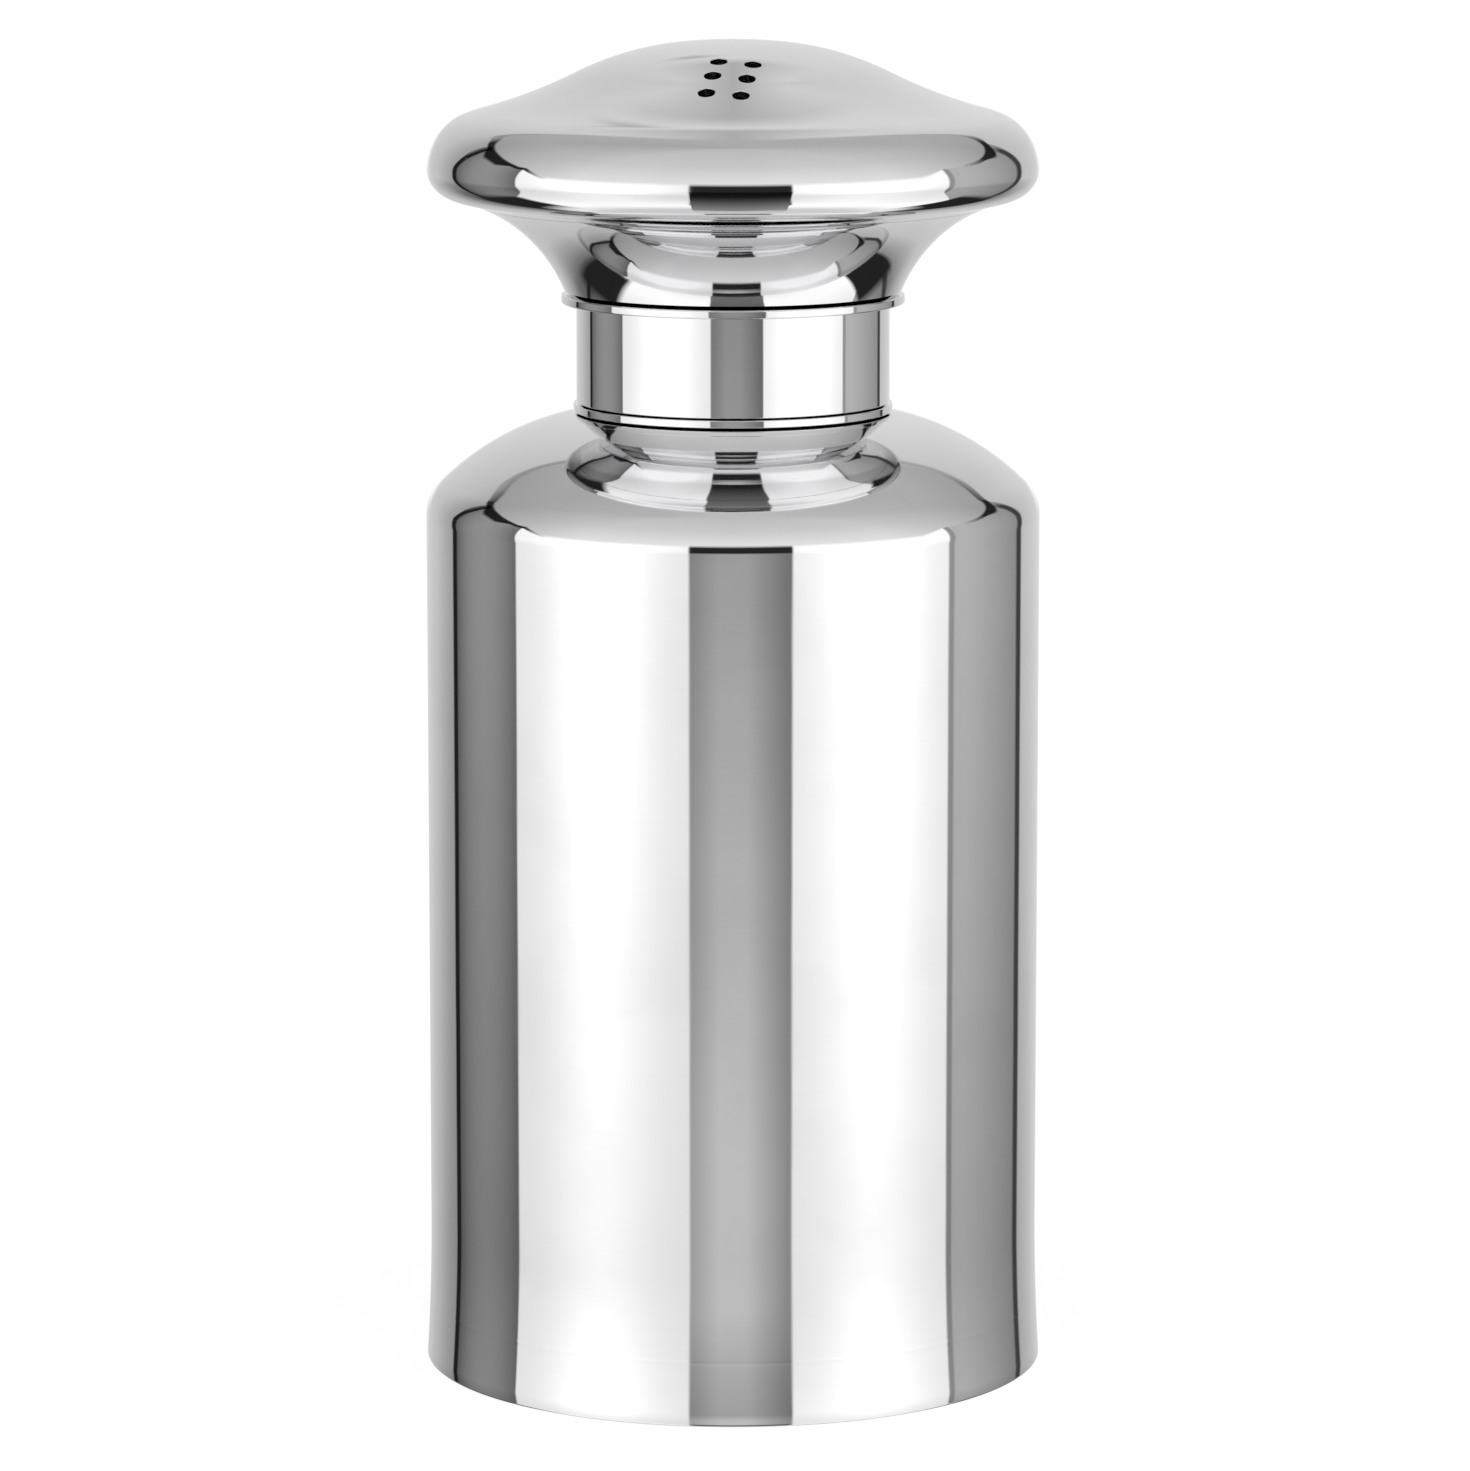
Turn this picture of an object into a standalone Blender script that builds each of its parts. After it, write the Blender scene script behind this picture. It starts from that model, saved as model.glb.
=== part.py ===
"""Salt shaker: a polished steel bottle with a screw-on mushroom head, built as separate pieces.

Units are metres and +Z is up. The origin is the centre of the circle that the shaker stands on, the
shaker's axis is +Z, and the side with the pouring holes faces -Y. A turned piece is an outline of
(radius, height) points that a Screw modifier carries round the axis. The outlines are made of tangent
arcs. A heading is the slope of an outline below the outward horizontal: 0 runs outwards, a quarter
turn runs straight down, and a half turn runs inwards.
"""

import math
from collections import namedtuple

import bmesh
import bpy

# Gap between neighbouring pieces
CLEARANCE = 0.0003

# Body shell
BODY_RADIUS = 0.01985
BODY_WALL = 0.0008
BODY_STRAIGHT = 0.05575
CORNER_RADIUS = 0.0031
SHOULDER_SLOPE = math.radians(43.5)
FOOT_FLARE = 0.0003
FOOT_FLARE_HEIGHT = 0.0095

# Base plate
BASE_INSET = 0.0010
BASE_THICKNESS = 0.0008
BASE_CHAMFER = 0.0002

# Neck sleeve
NECK_HEIGHT = 0.0080
NECK_WALL = 0.0008
NECK_CHAMFER = 0.0002
NECK_FLANGE_WIDTH = 0.0020
NECK_FLANGE_THICKNESS = 0.0008

# Thread on the neck and in the insert
THREAD_LEAD = 0.0030
THREAD_DEPTH = 0.0008
THREAD_ROOT_WIDTH = 0.0015
THREAD_CREST_WIDTH = 0.0007
THREAD_END_MARGIN = 0.0005
THREAD_BITE = 0.0003

# Seal ring and thread insert
SEAL_THICKNESS = 0.0010
INSERT_WALL = 0.0009
INSERT_LIP_THICKNESS = 0.0010

# Collar
COLLAR_RADIUS = 0.01012
COLLAR_WALL = 0.0006
COLLAR_HEIGHT = 0.00652
FOOT_BAND_PROUD = 0.0002
FOOT_BAND_HEIGHT = 0.00075
FOOT_BAND_ROUND = 0.0001

# Flare and dome
CAP_WALL = 0.0006
BEAD_PROUD = 0.00098
BEAD_HEIGHT = 0.0008
BEAD_GROOVE_DEPTH = 0.0002
BRIM_RADIUS = 0.01971
BRIM_START_ROLL = 0.00905
BRIM_START_SLOPE = math.radians(22.6)
BRIM_TOP_ROLL = 0.00363
BRIM_UNDER_ROLL = 0.00195
CROWN_RADIUS = 0.0229
CROWN_SLOPE = math.radians(26.4)
FLANK_SLOPE = math.radians(14.75)
UNDER_HEADING = math.radians(168.3)
FLARE_FOOT_HEADING = math.radians(112.5)
LAP_LENGTH = 0.0014

# Pouring holes
HOLE_RADIUS = 0.00055
HOLE_COLUMNS = 2
HOLE_ROWS = 3
HOLE_PITCH_ACROSS = 0.0022
HOLE_PITCH_OUT = 0.0020
HOLES_FROM_AXIS = 0.0093
HOLES_ASIDE = -0.0002
HOLES_LEAN = math.radians(-11.0)

# Smoothness
OUTER_STEPS = 48
INNER_STEPS = 36
HOLE_STEPS = 14
ARC_STEP = math.radians(12.0)
FOOT_STRETCHES = 3
MERGE_DISTANCE = 0.00001

STRAIGHT_DOWN = math.radians(90.0)
STRAIGHT_IN = math.radians(180.0)

Arc = namedtuple("Arc", "centre_r centre_z radius start end")


def arc_point(arc, heading, depth=0.0):
    """Point of an arc at a heading, moved below the outer surface by depth."""
    reach = arc.radius - depth
    return (arc.centre_r + reach * math.sin(heading), arc.centre_z + reach * math.cos(heading))


def arc_chain(start, heading, turns):
    """Arcs that follow each other smoothly. A turn is (radius, end heading), negative where hollow."""
    arcs = []
    r, z = start
    for radius, end in turns:
        arc = Arc(r - radius * math.sin(heading), z - radius * math.cos(heading), radius, heading, end)
        arcs.append(arc)
        r, z = arc_point(arc, end)
        heading = end
    return arcs


def trace(arcs, depth=0.0):
    """Points along a chain of arcs, moved below the outer surface by depth."""
    points = [arc_point(arcs[0], arcs[0].start, depth)]
    for arc in arcs:
        turn = arc.end - arc.start
        count = max(2, math.ceil(abs(turn) / ARC_STEP))
        points += [arc_point(arc, arc.start + turn * i / count, depth) for i in range(1, count + 1)]
    return points


# Sizes that follow from the driving dimensions: radii from the collar inwards
collar_bore = COLLAR_RADIUS - COLLAR_WALL
foot_radius = COLLAR_RADIUS + FOOT_BAND_PROUD
insert_radius = collar_bore - CLEARANCE
insert_bore = insert_radius - INSERT_WALL
neck_radius = insert_bore - CLEARANCE - THREAD_DEPTH
neck_bore = neck_radius - NECK_WALL
seal_radius = insert_bore - CLEARANCE

# The shoulder levels out where it meets the neck
shoulder_radius = (
    BODY_RADIUS - neck_radius - CORNER_RADIUS * (1 - math.sin(SHOULDER_SLOPE))
) / math.sin(SHOULDER_SLOPE)
shoulder_rise = shoulder_radius * (1 - math.cos(SHOULDER_SLOPE)) + CORNER_RADIUS * math.cos(SHOULDER_SLOPE)
shoulder_crest = BODY_STRAIGHT + shoulder_rise


def body_radius_at(height):
    """Outer radius of the body at a height, with the slight spread of its foot."""
    share = max(0.0, 1 - height / FOOT_FLARE_HEIGHT)
    return BODY_RADIUS + FOOT_FLARE * share**2


def shoulder_height(radius, depth=0.0):
    """Height of the shoulder at a radius, on its outer surface or below it by depth."""
    reach = shoulder_radius - depth
    return shoulder_crest - shoulder_radius + math.sqrt(reach**2 - (radius - neck_radius) ** 2)


# Heights of the body, from the floor
neck_top = shoulder_crest + NECK_HEIGHT
thread_margin = THREAD_END_MARGIN + THREAD_ROOT_WIDTH / 2
thread_bottom = shoulder_crest + thread_margin
thread_turns = (neck_top - thread_margin - thread_bottom) / THREAD_LEAD
head_seat = shoulder_height(foot_radius) + CLEARANCE

# Heights of the head, from its seat
bead_radius = COLLAR_RADIUS + BEAD_PROUD
bead_bottom = COLLAR_HEIGHT + CLEARANCE
bead_top = bead_bottom + BEAD_HEIGHT
flare_foot_radius = bead_radius - BEAD_GROOVE_DEPTH
insert_bottom = shoulder_height(insert_bore) + CLEARANCE - head_seat
seal_bottom = neck_top + CLEARANCE - head_seat
lip_bottom = seal_bottom + SEAL_THICKNESS + CLEARANCE
lip_top = lip_bottom + INSERT_LIP_THICKNESS

# The flank and the flare reach from one fixed end to the other
start_reach = BRIM_START_ROLL * (math.sin(BRIM_START_SLOPE) - math.sin(FLANK_SLOPE))
roll_reach = start_reach + BRIM_TOP_ROLL * (1 - math.sin(BRIM_START_SLOPE))
flank_radius = (BRIM_RADIUS - CROWN_RADIUS * math.sin(CROWN_SLOPE) - roll_reach) / (
    math.sin(CROWN_SLOPE) - math.sin(FLANK_SLOPE)
)
roll_end_radius = BRIM_RADIUS - BRIM_UNDER_ROLL * (1 - math.sin(UNDER_HEADING))
flare_radius = (roll_end_radius - flare_foot_radius) / (
    math.sin(FLARE_FOOT_HEADING) - math.sin(UNDER_HEADING)
)
HEAD_TURNS = [
    (CROWN_RADIUS, CROWN_SLOPE),
    (-flank_radius, FLANK_SLOPE),
    (BRIM_START_ROLL, BRIM_START_SLOPE),
    (BRIM_TOP_ROLL, STRAIGHT_DOWN),
    (BRIM_UNDER_ROLL, UNDER_HEADING),
    (-flare_radius, FLARE_FOOT_HEADING),
]


def head_arcs():
    """Outline of the head from its apex to the foot of the flare, which stands on the bead."""
    hanging = arc_chain((0.0, 0.0), 0.0, HEAD_TURNS)
    drop = arc_point(hanging[-1], FLARE_FOOT_HEADING)[1]
    return arc_chain((0.0, bead_top - drop), 0.0, HEAD_TURNS)


def steel_material(name, roughness):
    return plain_material(name, (0.78, 0.78, 0.79), roughness, 1.0)


def plain_material(name, color, roughness, metallic=0.0):
    material = bpy.data.materials.new(name)
    material.use_nodes = True
    shader = material.node_tree.nodes["Principled BSDF"]
    shader.inputs["Base Color"].default_value = (*color, 1.0)
    shader.inputs["Roughness"].default_value = roughness
    shader.inputs["Metallic"].default_value = metallic
    material.diffuse_color = (*color, 1.0)
    return material


def add_object(name, data, collection, parent=None):
    item = bpy.data.objects.new(name, data)
    collection.objects.link(item)
    item.parent = parent
    return item


def outline_mesh(name, points, closed):
    """Mesh of the edges that join the points of a (radius, height) outline."""
    mesh = bpy.data.meshes.new(name)
    shape = bmesh.new()
    corners = [shape.verts.new((r, 0.0, z)) for r, z in points]
    for first, second in zip(corners, corners[1:]):
        shape.edges.new((first, second))
    if closed:
        shape.edges.new((corners[-1], corners[0]))
    shape.to_mesh(mesh)
    shape.free()
    return mesh


def add_screw(item, steps, angle=math.tau, rise=0.0):
    screw = item.modifiers.new("Turn", "SCREW")
    screw.axis = "Z"
    screw.angle = angle
    screw.screw_offset = rise
    screw.steps = steps
    screw.render_steps = steps
    screw.use_smooth_shade = True
    screw.use_merge_vertices = rise == 0.0
    screw.merge_threshold = MERGE_DISTANCE


def turned_piece(name, points, steps, material, parent=None, closed=True):
    """Solid of revolution. An outline that is not closed has both its ends on the axis."""
    item = add_object(name, outline_mesh(name, points, closed), shaker, parent)
    item.data.materials.append(material)
    add_screw(item, steps)
    return item


def add_boolean(item, other, operation):
    boolean = item.modifiers.new(operation.title(), "BOOLEAN")
    boolean.operation = operation
    boolean.solver = "EXACT"
    boolean.object = other


def hide_cutter(item):
    item.hide_render = True
    item.display_type = "WIRE"


def thread_ridge(name, root_radius, crest_radius, bottom, turns, parent=None):
    """Helical ridge with closed ends. Its root goes on into the wall that it stands on."""
    outwards = 1 if crest_radius > root_radius else -1
    buried_radius = root_radius - outwards * THREAD_BITE
    half_root = THREAD_ROOT_WIDTH / 2
    half_crest = THREAD_CREST_WIDTH / 2
    section = [
        (buried_radius, bottom + half_root),
        (root_radius, bottom + half_root),
        (crest_radius, bottom + half_crest),
        (crest_radius, bottom - half_crest),
        (root_radius, bottom - half_root),
        (buried_radius, bottom - half_root),
    ]
    sweep = add_object(name, outline_mesh(name, section, True), cutters)
    add_screw(sweep, round(INNER_STEPS * turns), math.tau * turns, THREAD_LEAD * turns)
    bpy.context.view_layer.update()
    swept = sweep.evaluated_get(bpy.context.evaluated_depsgraph_get())
    mesh = bpy.data.meshes.new_from_object(swept)
    bpy.data.objects.remove(sweep)
    shape = bmesh.new()
    shape.from_mesh(mesh)
    bmesh.ops.holes_fill(shape, edges=shape.edges, sides=len(section))
    bmesh.ops.recalc_face_normals(shape, faces=shape.faces)
    shape.to_mesh(mesh)
    shape.free()
    ridge = add_object(name, mesh, cutters, parent)
    hide_cutter(ridge)
    return ridge


def make_body_shell():
    """Drawn bottle: a tube with a slightly flared foot and a domed shoulder with a hole for the neck."""
    hole_edge = math.asin(CLEARANCE / shoulder_radius)
    turns = [(shoulder_radius, SHOULDER_SLOPE), (CORNER_RADIUS, STRAIGHT_DOWN)]
    arcs = arc_chain((neck_radius, shoulder_crest), 0.0, turns)
    arcs[0] = arcs[0]._replace(start=hole_edge)
    foot_heights = [FOOT_FLARE_HEIGHT * (1 - i / FOOT_STRETCHES) for i in range(FOOT_STRETCHES + 1)]
    foot = [(body_radius_at(z), z) for z in foot_heights]
    outside = trace(arcs) + foot
    inside = trace(arcs, BODY_WALL) + [(r - BODY_WALL, z) for r, z in foot]
    points = outside + inside[::-1]
    return turned_piece("body_shell", points, OUTER_STEPS, steel_material("polished_body", 0.06))


def make_base_plate():
    """Disc set in the foot of the body, above the edge that the shaker stands on."""
    top = BASE_INSET + BASE_THICKNESS
    radius = body_radius_at(top) - BODY_WALL - CLEARANCE
    points = [
        (0.0, top),
        (radius - BASE_CHAMFER, top),
        (radius, top - BASE_CHAMFER),
        (radius, BASE_INSET),
        (0.0, BASE_INSET),
    ]
    material = steel_material("satin_base", 0.3)
    return turned_piece("base_plate", points, OUTER_STEPS, material, closed=False)


def make_neck_sleeve():
    """Threaded neck, held under the shoulder by its flange."""
    flange_radius = neck_radius + CLEARANCE + NECK_FLANGE_WIDTH
    flange_top = shoulder_height(flange_radius, BODY_WALL) - CLEARANCE
    flange_bottom = flange_top - NECK_FLANGE_THICKNESS
    points = [
        (neck_bore, neck_top),
        (neck_radius - NECK_CHAMFER, neck_top),
        (neck_radius, neck_top - NECK_CHAMFER),
        (neck_radius, flange_top),
        (flange_radius, flange_top),
        (flange_radius, flange_bottom),
        (neck_bore, flange_bottom),
    ]
    neck = turned_piece("neck_sleeve", points, INNER_STEPS, steel_material("turned_neck", 0.25))
    crest = neck_radius + THREAD_DEPTH
    ridge = thread_ridge("neck_thread", neck_radius, crest, thread_bottom, thread_turns)
    add_boolean(neck, ridge, "UNION")
    return neck


def make_seal_ring(head):
    """Flat soft ring that lies on the neck's rim and rises with the head."""
    top = seal_bottom + SEAL_THICKNESS
    points = [(neck_bore, top), (seal_radius, top), (seal_radius, seal_bottom), (neck_bore, seal_bottom)]
    material = plain_material("seal_rubber", (0.75, 0.75, 0.73), 0.6)
    return turned_piece("seal_ring", points, INNER_STEPS, material, head)


def make_thread_insert(head):
    """Threaded sleeve in the collar, with a lip that bears on the seal."""
    points = [
        (neck_bore, lip_top),
        (insert_radius, lip_top),
        (insert_radius, insert_bottom),
        (insert_bore, insert_bottom),
        (insert_bore, lip_bottom),
        (neck_bore, lip_bottom),
    ]
    material = plain_material("insert_nylon", (0.80, 0.79, 0.75), 0.45)
    insert = turned_piece("thread_insert", points, INNER_STEPS, material, head)
    half_turn = 0.5
    bottom = thread_bottom + half_turn * THREAD_LEAD - head_seat
    crest = insert_bore - THREAD_DEPTH
    ridge = thread_ridge("insert_thread", insert_bore, crest, bottom, thread_turns - half_turn, head)
    add_boolean(insert, ridge, "UNION")
    return insert


def make_collar(head):
    """Straight skirt with a thin band round its foot, which follows the shoulder."""
    inner_foot = shoulder_height(collar_bore) + CLEARANCE - head_seat
    points = [
        (collar_bore, COLLAR_HEIGHT),
        (COLLAR_RADIUS, COLLAR_HEIGHT),
        (COLLAR_RADIUS, FOOT_BAND_HEIGHT),
        (foot_radius - FOOT_BAND_ROUND, FOOT_BAND_HEIGHT),
        (foot_radius, FOOT_BAND_HEIGHT - FOOT_BAND_ROUND),
        (foot_radius, 0.0),
        (collar_bore, inner_foot),
    ]
    return turned_piece("collar", points, OUTER_STEPS, steel_material("polished_collar", 0.06), head)


def make_cap_flare(head):
    """Spun funnel: a bead at its foot, and a raised flange that laps over the dome's turned-in edge."""
    flare = head_arcs()[-1]
    step = 2 * CAP_WALL + CLEARANCE
    seam = UNDER_HEADING - (LAP_LENGTH + CLEARANCE) / flare_radius
    inner_seam = seam - CAP_WALL / flare_radius
    tip = UNDER_HEADING - CLEARANCE / flare_radius
    bead_round = BEAD_HEIGHT / 2
    bead_start = math.radians(30.0)
    bead = Arc(bead_radius - bead_round, bead_bottom + bead_round, bead_round, bead_start, STRAIGHT_IN)
    outside = trace([flare._replace(start=tip, end=seam)], step - CAP_WALL)
    outside += trace([flare._replace(start=seam)])
    outside += trace([bead])
    hem = [(collar_bore, bead_bottom), (collar_bore, bead_top)]
    inside = trace([flare._replace(start=FLARE_FOOT_HEADING, end=inner_seam)], CAP_WALL)
    inside += trace([flare._replace(start=inner_seam, end=tip)], step)
    points = outside + hem + inside
    return turned_piece("cap_flare", points, OUTER_STEPS, steel_material("polished_flare", 0.06), head)


def make_hole_cutter(head, top, bottom):
    """Upright pins at the pouring holes: straight rows on the front flank of the dome."""
    mesh = bpy.data.meshes.new("hole_pins")
    shape = bmesh.new()
    for row in range(HOLE_ROWS):
        for column in range(HOLE_COLUMNS):
            across = (column - (HOLE_COLUMNS - 1) / 2) * HOLE_PITCH_ACROSS
            out = ((HOLE_ROWS - 1) / 2 - row) * HOLE_PITCH_OUT
            x = HOLES_ASIDE + across * math.cos(HOLES_LEAN) + out * math.sin(HOLES_LEAN)
            y = -HOLES_FROM_AXIS + across * math.sin(HOLES_LEAN) - out * math.cos(HOLES_LEAN)
            pin = bmesh.ops.create_cone(
                shape,
                cap_ends=True,
                segments=HOLE_STEPS,
                radius1=HOLE_RADIUS,
                radius2=HOLE_RADIUS,
                depth=top - bottom,
            )
            bmesh.ops.translate(shape, verts=pin["verts"], vec=(x, y, (top + bottom) / 2))
    shape.to_mesh(mesh)
    shape.free()
    pins = add_object("hole_pins", mesh, cutters, head)
    hide_cutter(pins)
    return pins


def make_cap_dome(head):
    """Ogee dome with its rim rolled under and turned in below the flare's flange."""
    arcs = head_arcs()
    lip_end = UNDER_HEADING - LAP_LENGTH / flare_radius
    arcs[-1] = arcs[-1]._replace(end=lip_end)
    points = trace(arcs) + trace(arcs, CAP_WALL)[::-1]
    apex = points[0][1]
    material = steel_material("polished_dome", 0.06)
    dome = turned_piece("cap_dome", points, OUTER_STEPS, material, head, closed=False)
    brim_height = arcs[2].centre_z
    add_boolean(dome, make_hole_cutter(head, apex, brim_height), "DIFFERENCE")
    return dome


for old in list(bpy.data.objects):
    bpy.data.objects.remove(old)

shaker = bpy.data.collections.new("salt_shaker")
cutters = bpy.data.collections.new("cutters")
bpy.context.scene.collection.children.link(shaker)
bpy.context.scene.collection.children.link(cutters)

head_axis = add_object("head_axis", None, shaker)
head_axis.location = (0.0, 0.0, head_seat)

make_body_shell()
make_base_plate()
make_neck_sleeve()
make_seal_ring(head_axis)
make_thread_insert(head_axis)
make_collar(head_axis)
make_cap_flare(head_axis)
make_cap_dome(head_axis)
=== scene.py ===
"""Looks of the salt shaker: fine meshes for its eight pieces, their materials, the studio and the camera.

Units are metres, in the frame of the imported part: +Z is the shaker's axis and the pouring holes face -Y.
A turned piece is an outline of points that carry their own normals, so that its mirror finish is exact.
An outline is followed with its outside on the left: out over the top, down, in underneath, up inside.
"""

import math
from collections import namedtuple

import bmesh
import bpy
from mathutils import Matrix, Vector


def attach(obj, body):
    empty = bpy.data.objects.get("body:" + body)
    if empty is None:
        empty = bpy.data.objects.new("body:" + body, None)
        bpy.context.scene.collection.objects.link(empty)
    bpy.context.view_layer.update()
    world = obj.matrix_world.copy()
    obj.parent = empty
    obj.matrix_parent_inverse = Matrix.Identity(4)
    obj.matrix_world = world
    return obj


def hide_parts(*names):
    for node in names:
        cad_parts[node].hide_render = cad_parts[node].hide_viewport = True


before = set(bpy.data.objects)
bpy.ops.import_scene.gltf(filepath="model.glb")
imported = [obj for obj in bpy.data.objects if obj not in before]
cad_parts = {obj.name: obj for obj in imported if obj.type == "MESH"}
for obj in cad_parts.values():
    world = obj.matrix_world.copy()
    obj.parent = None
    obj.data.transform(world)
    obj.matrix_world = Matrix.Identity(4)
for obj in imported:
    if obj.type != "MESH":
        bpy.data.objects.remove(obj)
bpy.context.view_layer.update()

MM = 0.001
QUARTER = math.radians(90.0)
HALF = math.radians(180.0)

# Sizes of the part, as its source has them
CLEARANCE = 0.3 * MM
BODY_RADIUS = 19.85 * MM
BODY_WALL = 0.8 * MM
BODY_STRAIGHT = 55.75 * MM
CORNER_RADIUS = 3.1 * MM
SHOULDER_SLOPE = math.radians(43.5)
FOOT_FLARE = 0.3 * MM
FOOT_FLARE_HEIGHT = 9.5 * MM
BASE_INSET = 1.0 * MM
BASE_THICKNESS = 0.8 * MM
NECK_HEIGHT = 8.0 * MM
NECK_WALL = 0.8 * MM
NECK_FLANGE_WIDTH = 2.0 * MM
NECK_FLANGE_THICKNESS = 0.8 * MM
THREAD_LEAD = 3.0 * MM
THREAD_DEPTH = 0.8 * MM
THREAD_ROOT_WIDTH = 1.5 * MM
THREAD_CREST_WIDTH = 0.7 * MM
THREAD_END_MARGIN = 0.5 * MM
SEAL_THICKNESS = 1.0 * MM
INSERT_WALL = 0.9 * MM
INSERT_LIP_THICKNESS = 1.0 * MM
COLLAR_RADIUS = 10.12 * MM
COLLAR_WALL = 0.6 * MM
COLLAR_HEIGHT = 6.52 * MM
FOOT_BAND_PROUD = 0.2 * MM
CAP_WALL = 0.6 * MM
BEAD_PROUD = 0.98 * MM
BEAD_HEIGHT = 0.8 * MM
BEAD_GROOVE_DEPTH = 0.2 * MM
BRIM_RADIUS = 19.71 * MM
BRIM_START_ROLL = 9.05 * MM
BRIM_START_SLOPE = math.radians(22.6)
BRIM_TOP_ROLL = 3.63 * MM
BRIM_UNDER_ROLL = 1.95 * MM
CROWN_RADIUS = 22.9 * MM
CROWN_SLOPE = math.radians(26.4)
FLANK_SLOPE = math.radians(14.75)
UNDER_HEADING = math.radians(168.3)
FLARE_FOOT_HEADING = math.radians(112.5)
LAP_LENGTH = 1.4 * MM
HOLE_RADIUS = 0.55 * MM
HOLE_COLUMNS = 2
HOLE_ROWS = 3
HOLE_PITCH_ACROSS = 2.2 * MM
HOLE_PITCH_OUT = 2.0 * MM
HOLES_FROM_AXIS = 9.3 * MM
HOLES_ASIDE = -0.2 * MM
HOLES_LEAN = math.radians(-11.0)

# Finish of the edges, which the solids leave sharp
HAIRLINE = 0.05 * MM
SAME_PLACE = HAIRLINE / 100
EDGE_ROUND = 0.15 * MM
FINE_ROUND = 0.06 * MM
SOFT_ROUND = 0.25 * MM
LIP_ROUND = 0.12 * MM
LIP_FALL = 0.27 * MM
LIP_GROOVE_REACH = 0.6 * MM
BAND_FACE = 0.5 * MM
BAND_GROOVE = 0.12 * MM
BAND_GROOVE_REACH = 0.3 * MM
CROWN_TOP_RADIUS = 36.0 * MM
CROWN_TOP_SLOPE = math.radians(5.0)
HOLE_RIM = 0.03 * MM
HOLE_LAND = 0.12 * MM
HOLE_SPREAD = 0.35 * MM
HOLE_DEPTH = 0.9 * MM
HOLE_NEARNESS = 1.2
SKIN_LIKENESS = 0.985
CREASE_HEIGHT = 4.1 * MM
CREASE_WIDTH = 0.12 * MM
CREASE_PROUD = 0.0012 * MM
DISH_RADIUS = 12.0 * MM
DISH_DEPTH = 0.25 * MM
DISH_SLOPE_WIDTH = 1.2 * MM

# Smoothness
OUTER_STEPS = 240
INNER_STEPS = 144
HOLE_STEPS = 40
ARC_STEP = math.radians(3.0)
FINE_STEP = math.radians(15.0)
FOOT_ROWS = 12
THREAD_ROW = 0.1 * MM
THREAD_FADE = math.radians(30.0)

Arc = namedtuple("Arc", "centre_r centre_z radius start end")
Point = namedtuple("Point", "r z nr nz")


def arc_point(arc, heading, depth=0.0):
    """Point of an arc at a heading, moved below the outer surface by depth."""
    out, up = math.sin(heading), math.cos(heading)
    reach = arc.radius - depth
    return Point(arc.centre_r + reach * out, arc.centre_z + reach * up, out, up)


def arc_chain(start, heading, turns):
    """Arcs that follow each other smoothly. A turn is (radius, end heading), negative where hollow."""
    arcs = []
    r, z = start
    for radius, end in turns:
        arc = Arc(r - radius * math.sin(heading), z - radius * math.cos(heading), radius, heading, end)
        arcs.append(arc)
        r, z = arc_point(arc, end)[:2]
        heading = end
    return arcs


def trace(arcs, depth=0.0, step=ARC_STEP):
    """Points along a chain of arcs, moved below the outer surface by depth."""
    points = [arc_point(arcs[0], arcs[0].start, depth)]
    for arc in arcs:
        turn = arc.end - arc.start
        count = max(3, math.ceil(abs(turn) / step))
        points += [arc_point(arc, arc.start + turn * i / count, depth) for i in range(1, count + 1)]
    return points


def inside_out(points):
    """The same points followed the other way, as the far side of a wall."""
    return [Point(p.r, p.z, -p.nr, -p.nz) for p in reversed(points)]


def straight(first, last, rows=1):
    """Straight run between two (radius, height) places."""
    dr, dz = last[0] - first[0], last[1] - first[1]
    length = math.hypot(dr, dz)
    shares = [i / rows for i in range(rows + 1)]
    return [Point(first[0] + dr * s, first[1] + dz * s, -dz / length, dr / length) for s in shares]


def rounded(corners, closed=True):
    """One smooth run along the straight sides between (radius, height, rounding) corners."""
    points = []
    count = len(corners)
    for i, (r, z, rounding) in enumerate(corners):
        before, after = corners[i - 1], corners[(i + 1) % count]
        if not closed and i == 0:
            points.append(straight(corners[0], after)[0])
            continue
        if not closed and i == count - 1:
            points.append(straight(before, corners[i])[1])
            continue
        first = straight(before, (r, z))[0]
        last = straight((r, z), after)[0]
        start = math.atan2(first.nr, first.nz)
        turn = (math.atan2(last.nr, last.nz) - start + HALF) % math.tau - HALF
        reach = rounding * math.tan(abs(turn) / 2)
        side = 1.0 if turn > 0 else -1.0
        centre_r = r - reach * first.nz - side * rounding * first.nr
        centre_z = z + reach * first.nr - side * rounding * first.nz
        arc = Arc(centre_r, centre_z, side * rounding, start, start + turn)
        points += trace([arc], step=FINE_STEP)
    return points + [points[0]] if closed else points


def joined(runs, closed=True):
    """Runs with a straight one put in wherever the end of one is not the start of the next."""
    made = []
    following = runs[1:] + runs[:1] if closed else runs[1:] + [None]
    for run, after in zip(runs, following):
        made.append(run)
        if after and math.dist(run[-1][:2], after[0][:2]) > SAME_PLACE:
            made.append(straight(run[-1], after[0]))
    return made


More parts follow.
